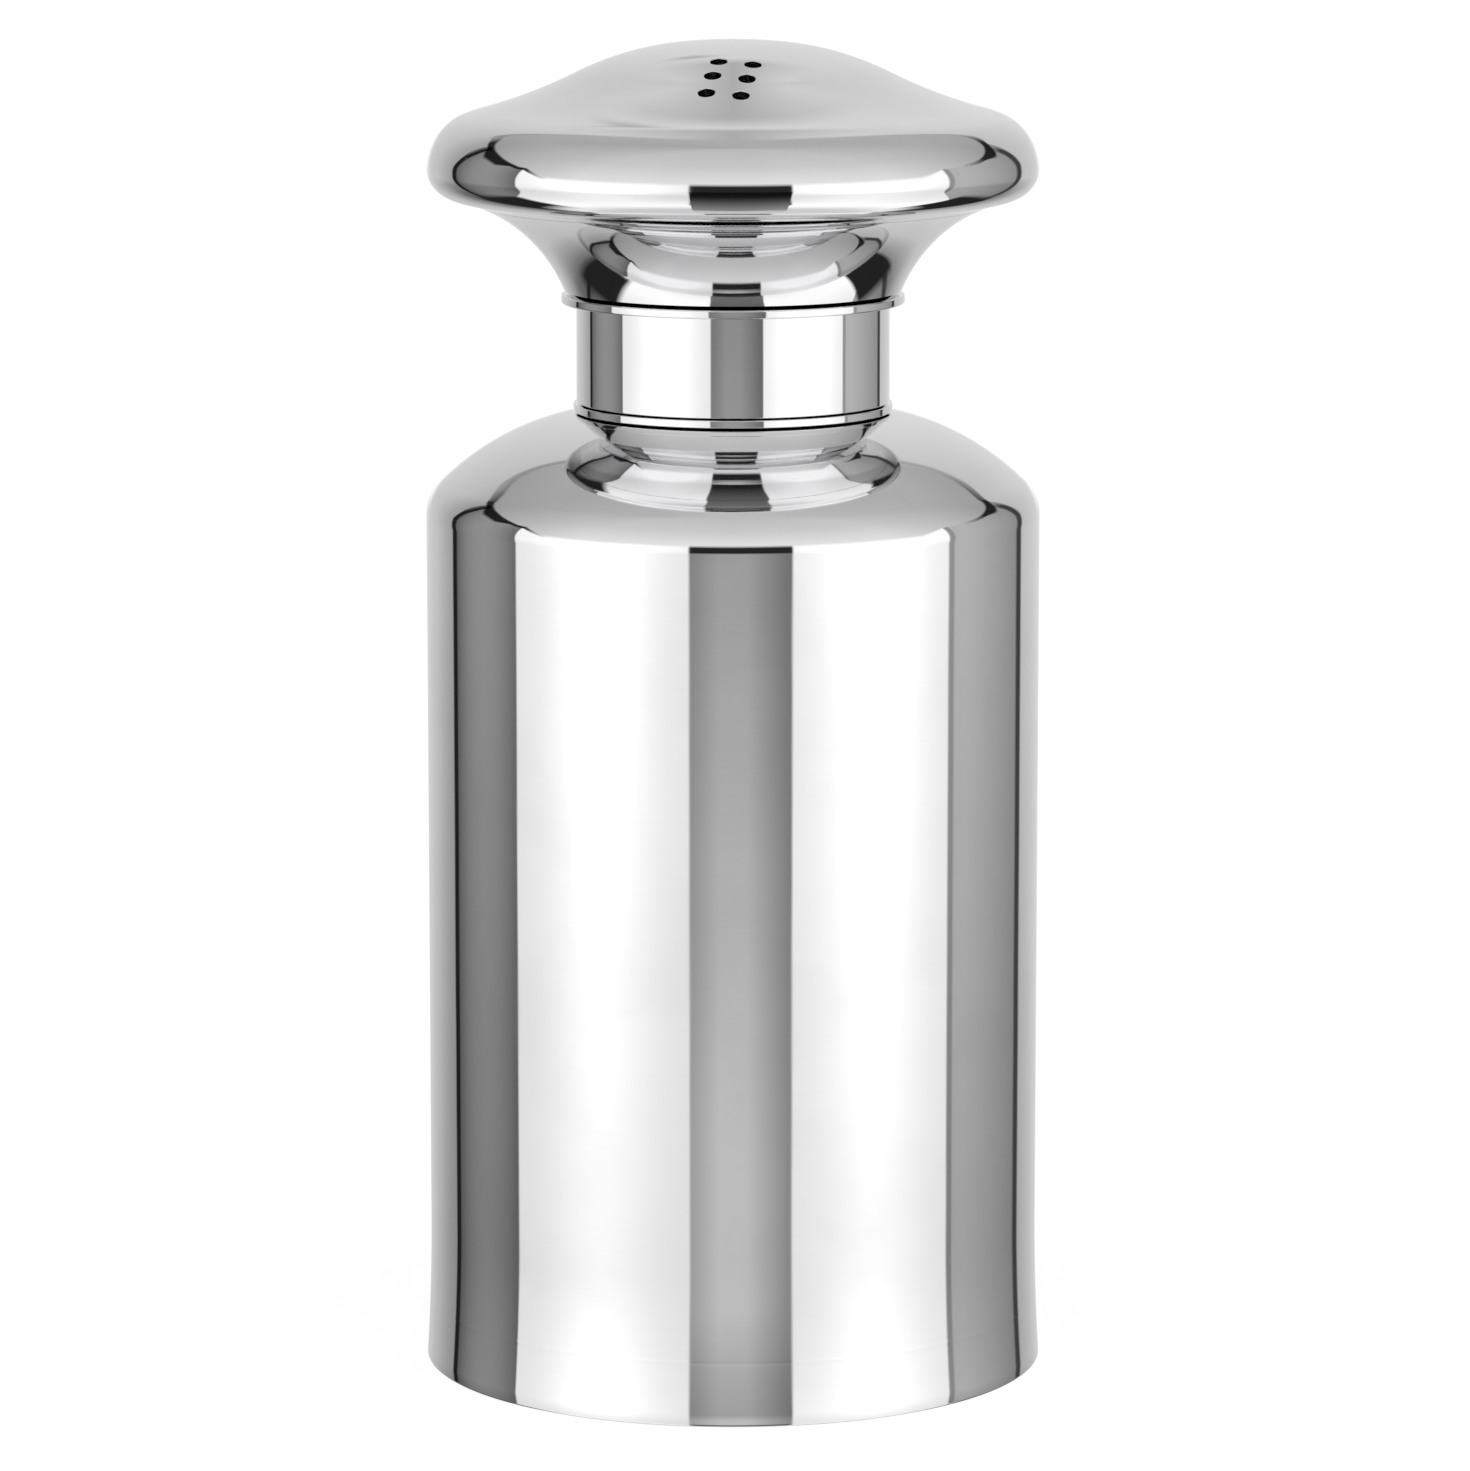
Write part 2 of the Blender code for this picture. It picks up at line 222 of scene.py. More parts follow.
def turned_mesh(name, runs, steps, ridge=None, ridged_run=None):
    """Mesh of revolution with the outline's normals. A ridge lifts one of the runs by angle and height."""
    mesh = bpy.data.meshes.new(name)
    places, rings, faces, normals = [], {}, [], []
    turns = [(math.cos(math.tau * j / steps), math.sin(math.tau * j / steps)) for j in range(steps)]

    def ring(point, lifted):
        key = (round(point.r * 1e8), round(point.z * 1e8))
        if key not in rings:
            count = 1 if point.r < SAME_PLACE else steps
            rings[key] = [len(places) + j for j in range(count)]
            for j in range(count):
                r = point.r + (ridge(math.tau * j / steps, point.z) if lifted else 0.0)
                places.append((r * turns[j][0], r * turns[j][1], point.z))
        return rings[key]

    def normal(point, j, lifted):
        cos, sin = turns[j % steps]
        along = 0.0
        nr, nz = point.nr, point.nz
        if lifted:
            small_turn, small_rise = math.tau / steps / 4, THREAD_ROW / 4
            angle = math.tau * j / steps
            by_turn = ridge(angle + small_turn, point.z) - ridge(angle - small_turn, point.z)
            by_rise = ridge(angle, point.z + small_rise) - ridge(angle, point.z - small_rise)
            along = -nr * by_turn / (2 * small_turn) / point.r
            nz = -nr * by_rise / (2 * small_rise)
        return Vector((nr * cos - along * sin, nr * sin + along * cos, nz)).normalized()

    ordered = sorted(enumerate(runs), key=lambda item: item[0] != ridged_run)
    for index, run in ordered:
        lifted = index == ridged_run
        for first, second in zip(run, run[1:]):
            if math.dist(first[:2], second[:2]) < SAME_PLACE / 10:
                continue
            upper, lower = ring(first, lifted), ring(second, lifted)
            for j in range(steps):
                k = (j + 1) % steps
                corners = [(upper, first, j), (lower, second, j), (lower, second, k), (upper, first, k)]
                if len(upper) == 1:
                    corners.pop(3)
                if len(lower) == 1:
                    corners.pop(2)
                faces.append([line[n % len(line)] for line, point, n in corners])
                normals += [normal(point, n, lifted) for line, point, n in corners]
    mesh.from_pydata(places, [], faces)
    mesh.shade_smooth()
    mesh.normals_split_custom_set(normals)
    mesh.validate()
    return mesh


def add_piece(name, mesh, material, body, node):
    """Puts a piece in the scene in place of its solid."""
    item = bpy.data.objects.new(name, mesh)
    bpy.context.scene.collection.objects.link(item)
    mesh.materials.append(material)
    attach(item, body)
    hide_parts(node)
    return item


# Sizes that follow from those above
collar_bore = COLLAR_RADIUS - COLLAR_WALL
foot_radius = COLLAR_RADIUS + FOOT_BAND_PROUD
insert_radius = collar_bore - CLEARANCE
insert_bore = insert_radius - INSERT_WALL
neck_radius = insert_bore - CLEARANCE - THREAD_DEPTH
neck_bore = neck_radius - NECK_WALL
seal_radius = insert_bore - CLEARANCE
shoulder_radius = (
    BODY_RADIUS - neck_radius - CORNER_RADIUS * (1 - math.sin(SHOULDER_SLOPE))
) / math.sin(SHOULDER_SLOPE)
shoulder_rise = shoulder_radius * (1 - math.cos(SHOULDER_SLOPE)) + CORNER_RADIUS * math.cos(SHOULDER_SLOPE)
shoulder_crest = BODY_STRAIGHT + shoulder_rise


def body_radius_at(height):
    """Outer radius of the body at a height, with the slight spread of its foot."""
    share = max(0.0, 1 - height / FOOT_FLARE_HEIGHT)
    return BODY_RADIUS + FOOT_FLARE * share**2


def shoulder_height(radius, depth=0.0):
    """Height of the shoulder at a radius, on its outer surface or below it by depth."""
    reach = shoulder_radius - depth
    return shoulder_crest - shoulder_radius + math.sqrt(reach**2 - (radius - neck_radius) ** 2)


neck_top = shoulder_crest + NECK_HEIGHT
thread_margin = THREAD_END_MARGIN + THREAD_ROOT_WIDTH / 2
thread_bottom = shoulder_crest + thread_margin
thread_turns = (neck_top - thread_margin - thread_bottom) / THREAD_LEAD
head_seat = shoulder_height(foot_radius) + CLEARANCE
bead_radius = COLLAR_RADIUS + BEAD_PROUD
bead_bottom = head_seat + COLLAR_HEIGHT + CLEARANCE
bead_top = bead_bottom + BEAD_HEIGHT
flare_foot_radius = bead_radius - BEAD_GROOVE_DEPTH
seal_bottom = neck_top + CLEARANCE
lip_bottom = seal_bottom + SEAL_THICKNESS + CLEARANCE
lip_top = lip_bottom + INSERT_LIP_THICKNESS
start_reach = BRIM_START_ROLL * (math.sin(BRIM_START_SLOPE) - math.sin(FLANK_SLOPE))
roll_reach = start_reach + BRIM_TOP_ROLL * (1 - math.sin(BRIM_START_SLOPE))
flank_radius = (BRIM_RADIUS - CROWN_RADIUS * math.sin(CROWN_SLOPE) - roll_reach) / (
    math.sin(CROWN_SLOPE) - math.sin(FLANK_SLOPE)
)
roll_end_radius = BRIM_RADIUS - BRIM_UNDER_ROLL * (1 - math.sin(UNDER_HEADING))
flare_radius = (roll_end_radius - flare_foot_radius) / (
    math.sin(FLARE_FOOT_HEADING) - math.sin(UNDER_HEADING)
)
crown_side_reach = CROWN_RADIUS * math.sin(CROWN_SLOPE) - CROWN_TOP_RADIUS * math.sin(CROWN_TOP_SLOPE)
crown_side_radius = crown_side_reach / (math.sin(CROWN_SLOPE) - math.sin(CROWN_TOP_SLOPE))
HEAD_TURNS = [
    (CROWN_TOP_RADIUS, CROWN_TOP_SLOPE),
    (crown_side_radius, CROWN_SLOPE),
    (-flank_radius, FLANK_SLOPE),
    (BRIM_START_ROLL, BRIM_START_SLOPE),
    (BRIM_TOP_ROLL, QUARTER),
    (BRIM_UNDER_ROLL, UNDER_HEADING),
    (-flare_radius, FLARE_FOOT_HEADING),
]


def head_arcs():
    """Outline of the head from its apex to the foot of the flare, which stands on the bead."""
    hanging = arc_chain((0.0, 0.0), 0.0, HEAD_TURNS)
    drop = arc_point(hanging[-1], FLARE_FOOT_HEADING).z
    return arc_chain((0.0, bead_top - drop), 0.0, HEAD_TURNS)


def body_runs():
    """Drawn bottle with a domed shoulder, a flared foot and a faint crease where the base is set in."""
    hole_edge = math.asin(CLEARANCE / shoulder_radius)
    arcs = arc_chain(
        (neck_radius, shoulder_crest), 0.0, [(shoulder_radius, SHOULDER_SLOPE), (CORNER_RADIUS, QUARTER)]
    )
    arcs[0] = arcs[0]._replace(start=hole_edge)
    coarse = [FOOT_FLARE_HEIGHT * (1 - i / FOOT_ROWS) for i in range(FOOT_ROWS + 1)]
    near_crease = [CREASE_HEIGHT + CREASE_WIDTH * i / 3 for i in range(-8, 9)]
    heights = sorted({z for z in coarse + near_crease if z > EDGE_ROUND * 1.5}, reverse=True)
    foot = []
    for z in heights:
        offset = (z - CREASE_HEIGHT) / CREASE_WIDTH
        crease = CREASE_PROUD * math.exp(-(offset**2))
        spread = 2 * FOOT_FLARE / FOOT_FLARE_HEIGHT * (1 - z / FOOT_FLARE_HEIGHT)
        lean = spread + 2 * offset / CREASE_WIDTH * crease
        length = math.hypot(1.0, lean)
        foot.append(Point(body_radius_at(z) + crease, z, 1 / length, lean / length))
    rim_radius = body_radius_at(EDGE_ROUND)
    outer_rim = Arc(rim_radius - EDGE_ROUND, EDGE_ROUND, EDGE_ROUND, QUARTER, HALF)
    inner_rim = Arc(rim_radius - BODY_WALL + EDGE_ROUND, EDGE_ROUND, EDGE_ROUND, HALF, HALF + QUARTER)
    rim = trace([outer_rim], step=FINE_STEP) + trace([inner_rim], step=FINE_STEP)
    bore = [Point(p.r - BODY_WALL, p.z, p.nr, p.nz) for p in (foot[0], foot[len(foot) // 2], foot[-1])]
    outside = trace(arcs) + foot + rim
    inside = inside_out(trace(arcs, BODY_WALL, ARC_STEP * 2) + bore)
    return joined([outside, inside])


def base_runs():
    """Disc in the foot of the body, with a shallow dish pressed into its underside."""
    top = BASE_INSET + BASE_THICKNESS
    radius = body_radius_at(top) - BODY_WALL - CLEARANCE / 2
    corners = [
        (0.0, top, 0.0),
        (radius, top, FINE_ROUND),
        (radius, BASE_INSET, EDGE_ROUND),
        (DISH_RADIUS + DISH_SLOPE_WIDTH, BASE_INSET, DISH_SLOPE_WIDTH),
        (DISH_RADIUS, BASE_INSET + DISH_DEPTH, DISH_SLOPE_WIDTH),
        (0.0, BASE_INSET + DISH_DEPTH, 0.0),
    ]
    return [rounded(corners, closed=False)]


def thread_height(bottom, turns, sign):
    """Height of a helical ridge over its wall by angle and height, with ends that run out."""

    def height(angle, z):
        angle %= math.tau
        phase = (z - bottom) / THREAD_LEAD - angle / math.tau
        turn = math.floor(phase + 0.5)
        wound = angle + math.tau * turn
        off = abs(phase - turn) * THREAD_LEAD
        slope = (off - THREAD_CREST_WIDTH / 2) / (THREAD_ROOT_WIDTH / 2 - THREAD_CREST_WIDTH / 2)
        run_out = min(wound, math.tau * turns - wound) / THREAD_FADE
        slope, run_out = min(max(slope, 0.0), 1.0), min(max(run_out, 0.0), 1.0)
        return sign * THREAD_DEPTH * (1 - slope**2 * (3 - 2 * slope)) * run_out**2 * (3 - 2 * run_out)

    return height


def neck_runs():
    """Threaded neck, held under the shoulder by its flange. The threaded wall is the second run."""
    flange_radius = neck_radius + CLEARANCE + NECK_FLANGE_WIDTH
    flange_top = shoulder_height(flange_radius, BODY_WALL) - CLEARANCE
    flange_bottom = flange_top - NECK_FLANGE_THICKNESS
    wall_top, wall_bottom = neck_top - SOFT_ROUND, shoulder_crest
    rim = Arc(neck_radius - SOFT_ROUND, wall_top, SOFT_ROUND, 0.0, QUARTER)
    mouth = Arc(neck_bore + SOFT_ROUND, wall_top, SOFT_ROUND, -QUARTER, 0.0)
    rows = math.ceil((wall_top - wall_bottom) / THREAD_ROW)
    lip = trace([mouth], step=FINE_STEP) + trace([rim], step=FINE_STEP)
    wall = straight((neck_radius, wall_top), (neck_radius, wall_bottom), rows)
    root = straight((neck_radius, wall_bottom), (neck_radius, flange_top))
    flange = [
        straight((neck_radius, flange_top), (flange_radius, flange_top)),
        straight((flange_radius, flange_top), (flange_radius, flange_bottom)),
        straight((flange_radius, flange_bottom), (neck_bore, flange_bottom)),
    ]
    return joined([lip, wall, root, *flange])


def seal_runs():
    """Soft flat ring with rounded edges."""
    top = seal_bottom + SEAL_THICKNESS
    return [
        rounded(
            [
                (neck_bore, top, SOFT_ROUND),
                (seal_radius, top, SOFT_ROUND),
                (seal_radius, seal_bottom, SOFT_ROUND),
                (neck_bore, seal_bottom, SOFT_ROUND),
            ]
        )
    ]


def insert_runs():
    """Threaded sleeve with a lip over the seal. The threaded bore is the first run."""
    bottom = shoulder_height(insert_bore) + CLEARANCE
    bore_bottom = bottom + SOFT_ROUND
    rows = math.ceil((lip_bottom - bore_bottom) / THREAD_ROW)
    foot_in = Arc(insert_bore + SOFT_ROUND, bore_bottom, SOFT_ROUND, HALF, HALF + QUARTER)
    foot_out = Arc(insert_radius - SOFT_ROUND, bore_bottom, SOFT_ROUND, QUARTER, HALF)
    return joined(
        [
            straight((insert_bore, bore_bottom), (insert_bore, lip_bottom), rows),
            straight((insert_bore, lip_bottom), (neck_bore, lip_bottom)),
            straight((neck_bore, lip_bottom), (neck_bore, lip_top)),
            straight((neck_bore, lip_top), (insert_radius, lip_top)),
            trace([foot_out], step=FINE_STEP) + trace([foot_in], step=FINE_STEP),
        ]
    )


def collar_runs():
    """Straight skirt with a thin band and a fine groove round its foot, close to the shoulder and the lip."""
    top = bead_bottom - HAIRLINE
    close = CLEARANCE - 2 * HAIRLINE
    outer_foot = head_seat - close
    band_top = outer_foot + BAND_FACE
    inner_foot = shoulder_height(collar_bore) + CLEARANCE - close
    return [
        rounded(
            [
                (collar_bore, top, FINE_ROUND),
                (COLLAR_RADIUS, top, FINE_ROUND),
                (COLLAR_RADIUS, band_top + BAND_GROOVE, FINE_ROUND),
                (COLLAR_RADIUS - BAND_GROOVE_REACH, band_top, 0.0),
                (foot_radius, band_top, FINE_ROUND),
                (foot_radius, outer_foot, FINE_ROUND),
                (collar_bore, inner_foot, FINE_ROUND),
            ]
        )
    ]


def flare_runs():
    """Spun funnel that stands on a lip, with a fine groove between, and a hidden flange under the dome."""
    flare = head_arcs()[-1]
    step = 2 * CAP_WALL + CLEARANCE
    seam = UNDER_HEADING - (LAP_LENGTH + CLEARANCE) / flare_radius
    inner_seam = seam - CAP_WALL / flare_radius
    tip = UNDER_HEADING - CLEARANCE / flare_radius
    groove_root = flare_foot_radius - LIP_GROOVE_REACH
    lip = [
        (groove_root, bead_top, 0.0),
        (bead_radius, bead_top - LIP_FALL, LIP_ROUND),
        (bead_radius, bead_bottom, LIP_ROUND),
        (collar_bore, bead_bottom, 0.0),
    ]
    return joined(
        [
            trace([flare._replace(start=tip, end=seam)], step - CAP_WALL),
            trace([flare._replace(start=seam)], step=ARC_STEP / 2),
            straight((flare_foot_radius, bead_top), (groove_root, bead_top)),
            rounded(lip, closed=False),
            straight((collar_bore, bead_bottom), (collar_bore, bead_top)),
            inside_out(trace([flare._replace(start=inner_seam)], CAP_WALL)),
            inside_out(trace([flare._replace(start=tip, end=inner_seam)], step)),
        ]
    )


def dome_runs():
    """Ogee dome with its rim rolled under, out to the hairline where it meets the flare."""
    arcs = head_arcs()
    lip_end = UNDER_HEADING - (LAP_LENGTH + CLEARANCE - HAIRLINE) / flare_radius
    arcs[-1] = arcs[-1]._replace(end=lip_end)
    outside = trace(arcs, step=ARC_STEP / 2)
    inside = inside_out(trace(arcs, CAP_WALL))
    return joined([outside, inside], closed=False)


def hole_centres():
    """Middles of the pouring holes on the front of the dome."""
    centres = []
    for row in range(HOLE_ROWS):
        for column in range(HOLE_COLUMNS):
            across = (column - (HOLE_COLUMNS - 1) / 2) * HOLE_PITCH_ACROSS
            out = ((HOLE_ROWS - 1) / 2 - row) * HOLE_PITCH_OUT
            x = HOLES_ASIDE + across * math.cos(HOLES_LEAN) + out * math.sin(HOLES_LEAN)
            y = -HOLES_FROM_AXIS + across * math.sin(HOLES_LEAN) - out * math.cos(HOLES_LEAN)
            centres.append(Vector((x, y)))
    return centres


def outline_normal(points, r, z):
    """Normal of a run at the place on it that is nearest to (r, z)."""
    nearest, found = math.inf, None
    for a, b in zip(points, points[1:]):
        dr, dz = b.r - a.r, b.z - a.z
        share = ((r - a.r) * dr + (z - a.z) * dz) / max(dr * dr + dz * dz, 1e-18)
        share = min(max(share, 0.0), 1.0)
        gap = math.hypot(a.r + dr * share - r, a.z + dz * share - z)
        if gap < nearest:
            nearest = gap
            found = (a.nr + (b.nr - a.nr) * share, a.nz + (b.nz - a.nz) * share)
    return found


def hole_frame(centre, points):
    """Place of a pouring hole on the dome's outside, with its Z axis square to the surface."""
    for a, b in zip(points, points[1:]):
        if a.r <= centre.length < b.r:
            share = (centre.length - a.r) / (b.r - a.r)
            break
    nr, nz = a.nr + (b.nr - a.nr) * share, a.nz + (b.nz - a.nz) * share
    across = centre.normalized()
    place = Vector((centre.x, centre.y, a.z + (b.z - a.z) * share))
    normal = Vector((nr * across.x, nr * across.y, nz))
    return Matrix.Translation(place) @ normal.to_track_quat("Z", "Y").to_matrix().to_4x4()


def pierce(mesh, runs):
    """Cuts the pouring holes through a dome, wider inside than out, and sets every normal again."""
    wall = rounded(
        [
            (HOLE_RADIUS + HOLE_SPREAD, -HOLE_DEPTH, 0.0),
            (HOLE_RADIUS, -HOLE_LAND, HOLE_RIM),
            (HOLE_RADIUS, -HOLE_RIM, HOLE_RIM),
            (HOLE_RADIUS + HOLE_SPREAD, HOLE_LAND, 0.0),
        ],
        closed=False,
    )
    top, bottom = wall[-1], wall[0]
    outline = [straight((0.0, top.z), top), inside_out(wall), straight(bottom, (0.0, bottom.z))]
    pin = turned_mesh("pin", outline, HOLE_STEPS)
    frames = [hole_frame(centre, runs[0]) for centre in hole_centres()]
    pins = bmesh.new()
    for place in frames:
        before = len(pins.verts)
        pins.from_mesh(pin)
        pins.verts.ensure_lookup_table()
        bmesh.ops.transform(pins, matrix=place, verts=pins.verts[before:])
    pin_mesh = bpy.data.meshes.new("pins")
    pins.to_mesh(pin_mesh)
    pins.free()
    whole = bpy.data.objects.new("whole_dome", mesh)
    cutter = bpy.data.objects.new("pins", pin_mesh)
    for item in (whole, cutter):
        bpy.context.scene.collection.objects.link(item)
    cut = whole.modifiers.new("Pierce", "BOOLEAN")
    cut.operation = "DIFFERENCE"
    cut.solver = "EXACT"
    cut.object = cutter
    bpy.context.view_layer.update()
    pierced = bpy.data.meshes.new_from_object(whole.evaluated_get(bpy.context.evaluated_depsgraph_get()))
    pierced.name = mesh.name
    for item in (whole, cutter):
        bpy.data.objects.remove(item)
    for used in (pin, pin_mesh):
        bpy.data.meshes.remove(used)

    def key(r, z):
        return round(r * 1e7), round(z * 1e7)

    turned = {}
    for run in runs:
        for point in run:
            turned.setdefault(key(point.r, point.z), []).append((point.nr, point.nz))

    def skin_normal(place, facing):
        """Normal of the dome's own surface at a place, on the side that faces the same way."""
        r = math.hypot(place.x, place.y)
        across = place.xy / r if r > SAME_PLACE else Vector((0.0, 0.0))
        choices = turned.get(key(r, place.z)) or [outline_normal(run, r, place.z) for run in runs]
        vectors = [Vector((nr * across.x, nr * across.y, nz)) for nr, nz in choices]
        return max(vectors, key=facing.dot).normalized()

    normals = []
    inverses = [place.inverted() for place in frames]
    reach = (HOLE_RADIUS + HOLE_SPREAD) * HOLE_NEARNESS
    for face in pierced.polygons:
        middle = face.center
        facing = face.normal.copy()
        hole = None
        for place, inverse in zip(frames, inverses):
            if (middle - place.translation).length < reach:
                skin = skin_normal(middle, facing)
                hole = (place, inverse) if skin.dot(facing) < SKIN_LIKENESS else None
        for index in face.vertices:
            spot = pierced.vertices[index].co
            if hole is None:
                normals.append(skin_normal(spot, facing))
                continue
            local = hole[1] @ spot
            r = math.hypot(local.x, local.y)
            nr, nz = outline_normal(wall, r, local.z)
            turned_normal = Vector((nr * local.x / r, nr * local.y / r, nz))
            normals.append((hole[0].to_3x3() @ turned_normal).normalized())
    pierced.shade_smooth()
    pierced.normals_split_custom_set(normals)
    return pierced


class Value:
    """A number in a node tree, which can be reckoned with like any other number."""

    def __init__(self, tree, output):
        self.tree = tree
        self.output = output

    def put(self, socket):
        self.tree.links.new(self.output, socket)

    def reckon(self, operation, *others, swap=False):
        node = self.tree.nodes.new("ShaderNodeMath")
        node.operation = operation
        values = (*others, self) if swap else (self, *others)
        for socket, value in zip(node.inputs, values):
            feed(socket, value)
        return Value(self.tree, node.outputs[0])

    def __add__(self, other):
        return self.reckon("ADD", other)

    def __sub__(self, other):
        return self.reckon("SUBTRACT", other)

    def __rsub__(self, other):
        return self.reckon("SUBTRACT", other, swap=True)

    def __mul__(self, other):
        return self.reckon("MULTIPLY", other)

    def __truediv__(self, other):
        return self.reckon("DIVIDE", other)

    def __pow__(self, other):
        return self.reckon("POWER", other)

    __radd__ = __add__
    __rmul__ = __mul__

    def between(self, low, high, start=0.0, end=1.0, smooth=False):
        """Runs from start to end as this number goes from low to high, and stays there outside."""
        node = self.tree.nodes.new("ShaderNodeMapRange")
        node.interpolation_type = "SMOOTHSTEP" if smooth else "LINEAR"
        node.clamp = True
        for socket, value in zip(node.inputs, (self, low, high, start, end)):
            feed(socket, value)
        return Value(self.tree, node.outputs[0])

    def band(self, low, high, soft):
        """1 between low and high and 0 outside, with soft edges."""
        return self.between(low - soft, low + soft) * self.between(high - soft, high + soft, 1.0, 0.0)

    def hump(self, middle, width):
        """1 at the middle, falling off smoothly on both sides."""
        offset = (self - middle) / width
        return (0.0 - offset * offset).reckon("EXPONENT")

    def towards(self, other, share):
        """Goes over to another number by a share."""
        return self + (other - self) * share


def feed(socket, value):
    if isinstance(value, Value):
        value.put(socket)
    else:
        socket.default_value = value


def add_node(tree, kind, inputs=None, **settings):
    node = tree.nodes.new(kind)
    for name, value in settings.items():
        setattr(node, name, value)
    for name, value in (inputs or {}).items():
        feed(node.inputs[name], value)
    return node


def axes(tree, coordinate):
    """The three numbers of a texture coordinate."""
    source = tree.nodes.new("ShaderNodeTexCoord")
    split = tree.nodes.new("ShaderNodeSeparateXYZ")
    tree.links.new(source.outputs[coordinate], split.inputs[0])
    return [Value(tree, output) for output in split.outputs]


def noise(tree, place, scale, detail=2.0, w=None):
    """Noise at a place given by three numbers, or four."""
    join = add_node(tree, "ShaderNodeCombineXYZ", dict(zip("XYZ", place)))
    node = add_node(tree, "ShaderNodeTexNoise", noise_dimensions="4D" if w else "3D")
    tree.links.new(join.outputs[0], node.inputs["Vector"])
    node.inputs["Scale"].default_value = scale
    node.inputs["Detail"].default_value = detail
    if w:
        feed(node.inputs["W"], w)
    return Value(tree, node.outputs[0])


def new_material(name):
    material = bpy.data.materials.new(name)
    material.use_nodes = True
    tree = material.node_tree
    return material, tree, tree.nodes["Principled BSDF"]


def tint(tree, share, first, second):
    """Colour that goes from the first to the second by a share."""
    mix = add_node(tree, "ShaderNodeMix", data_type="RGBA")
    feed(mix.inputs["Factor"], share)
    mix.inputs[6].default_value = (*first, 1.0)
    mix.inputs[7].default_value = (*second, 1.0)
    return mix.outputs[2]


def turning_lines(tree, place, fineness, hold):
    """Noise drawn out round the axis, as the lines of turning and polishing are."""
    x, y, z = place
    radius = (x * x + y * y + 1e-9) ** 0.5
    return noise(tree, (radius * fineness, z * fineness, x / radius * hold), 1.0, 3.0, y / radius * hold)


def set_bump(tree, shader, height):
    """Bends the normals by a height in metres."""
    bump = add_node(tree, "ShaderNodeBump", {"Strength": 1.0, "Distance": 1.0, "Height": height})
    tree.links.new(bump.outputs[0], shader.inputs["Normal"])


def set_colour(tree, shader, share, first, second):
    tree.links.new(tint(tree, share, first, second), shader.inputs["Base Color"])


# Finish of the materials: a fineness is how many features a metre has, and heights and depths are metres
POLISH_CLEAR = (0.835, 0.835, 0.84)
POLISH_SMUDGED = (0.79, 0.79, 0.798)
POLISH_ROUGHNESS = 0.028
POLISH_FINENESS = 7000.0
POLISH_HEIGHT = 3.0e-7
WAVE_FINENESS = 110.0
WAVE_HEIGHT = 1.0e-5
SMUDGE_FINENESS = 140.0
PIT_FINENESS = 300.0
PIT_SIZE = 0.045
PIT_DEPTH = 1.5e-6
SATIN_BRIGHT = (0.78, 0.78, 0.79)
SATIN_DULL = (0.64, 0.64, 0.65)
SATIN_ROUGHNESS = 0.24
SATIN_FINENESS = 9000.0
SATIN_HEIGHT = 2.5e-6
RING_FINENESS = 1600.0
RING_HEIGHT = 3.0e-6
STAIN_FINENESS = 170.0
NYLON_CREAM = (0.77, 0.76, 0.71)
NYLON_MILK = (0.83, 0.82, 0.785)
NYLON_ROUGHNESS = 0.40
NYLON_SHINE = 0.45
CLOUD_FINENESS = 260.0
CLOUD_HEIGHT = 6.0e-6
GRAIN_FINENESS = 5200.0
GRAIN_HEIGHT = 4.0e-6
RUBBER_BARE = (0.71, 0.71, 0.69)
RUBBER_DUSTY = (0.78, 0.78, 0.765)
RUBBER_ROUGHNESS = 0.52
RUBBER_SHINE = 0.35
BLOOM_FINENESS = 420.0
PORE_FINENESS = 6500.0
PORE_HEIGHT = 6.0e-6


def polished_steel():
    """Bright polished steel: faint lines round the axis, a slight wave, a few pits and thin smudges."""
    material, tree, shader = new_material("polished_steel")
    place = axes(tree, "Object")
    lines = turning_lines(tree, place, POLISH_FINENESS, 1.5)
    wave = noise(tree, place, WAVE_FINENESS, 1.0)
    smudge = noise(tree, place, SMUDGE_FINENESS, 4.0).between(0.42, 0.68, smooth=True)
    cells = add_node(tree, "ShaderNodeTexVoronoi")
    cells.inputs["Scale"].default_value = PIT_FINENESS
    source = tree.nodes.new("ShaderNodeTexCoord")
    tree.links.new(source.outputs["Object"], cells.inputs["Vector"])
    pick = tree.nodes.new("ShaderNodeSeparateColor")
    tree.links.new(cells.outputs["Color"], pick.inputs[0])
    chosen = Value(tree, pick.outputs[0]).between(0.80, 0.86)
    pits = Value(tree, cells.outputs["Distance"]).between(0.0, PIT_SIZE, 1.0, 0.0, smooth=True) * chosen
    set_bump(tree, shader, lines * POLISH_HEIGHT + wave * WAVE_HEIGHT - pits * PIT_DEPTH)
    set_colour(tree, shader, smudge * 0.6 + lines * 0.4, POLISH_CLEAR, POLISH_SMUDGED)
    (POLISH_ROUGHNESS + smudge * 0.016 + lines * 0.012 + pits * 0.15).put(shader.inputs["Roughness"])
    shader.inputs["Metallic"].default_value = 1.0
    return material


def satin_steel():
    """Turned steel that was left as the tool made it: rings of fine lines with a soft sheen."""
    material, tree, shader = new_material("satin_steel")
    place = axes(tree, "Object")
    lines = turning_lines(tree, place, SATIN_FINENESS, 2.5)
    rings = turning_lines(tree, place, RING_FINENESS, 0.8)
    stain = noise(tree, place, STAIN_FINENESS, 4.0)
    set_bump(tree, shader, lines * SATIN_HEIGHT + rings * RING_HEIGHT)
    set_colour(tree, shader, stain * 0.5 + rings * 0.5, SATIN_BRIGHT, SATIN_DULL)
    (SATIN_ROUGHNESS + lines * 0.12 + stain * 0.08).put(shader.inputs["Roughness"])
    shader.inputs["Metallic"].default_value = 1.0
    return material


